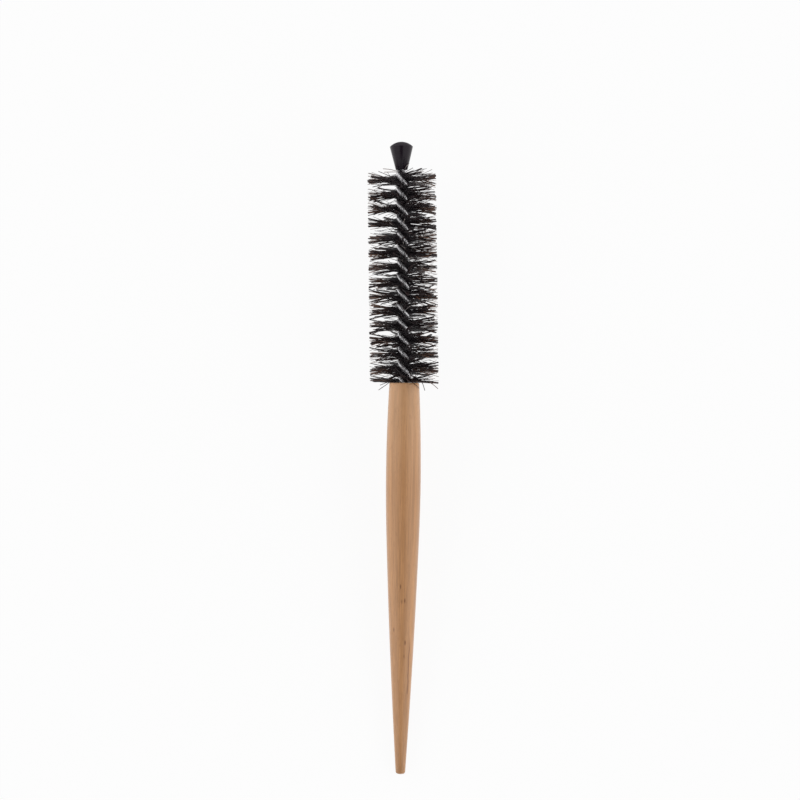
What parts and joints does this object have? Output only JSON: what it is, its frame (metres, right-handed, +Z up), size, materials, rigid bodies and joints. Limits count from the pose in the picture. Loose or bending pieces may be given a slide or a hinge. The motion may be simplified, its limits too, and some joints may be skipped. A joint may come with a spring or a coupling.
{
  "type": "round hairbrush",
  "caption": "Round hairbrush with a turned wooden handle, a twisted-wire stem holding spiral rows of bristles, and a domed plastic tip cap.",
  "frame": {"origin": "on the table, under the middle of the brush as it lies on its lowest bristles and the tail of its handle", "axes": "+X along the handle towards the tip cap, +Z up from the table; the handle's axis rises 4 degrees towards the cap"},
  "size_m": [0.244, 0.0277, 0.0306],
  "materials": {
    "beech": "waxed, fine straight grain",
    "galvanised_steel": "drawn wire, dull zinc",
    "bristle": "boar bristle, black with some brown",
    "black_plastic": "moulded, satin",
    "adhesive": "hardened epoxy"
  },
  "bodies": {
    "root": {"bristle_row_01": "bristle", "bristle_row_02": "bristle", "bristle_row_03": "bristle", "bristle_row_04": "bristle", "bristle_row_05": "bristle", "bristle_row_06": "bristle", "bristle_row_07": "bristle", "bristle_row_08": "bristle", "bristle_row_09": "bristle", "bristle_row_10": "bristle", "bristle_row_11": "bristle", "bristle_row_12": "bristle", "bristle_row_13": "bristle", "bristle_row_14": "bristle", "cap_adhesive": "adhesive", "handle": "beech", "handle_adhesive": "adhesive", "stem_wire_a": "galvanised_steel", "stem_wire_b": "galvanised_steel", "tip_cap": "black_plastic"}
  },
  "joints": []
}
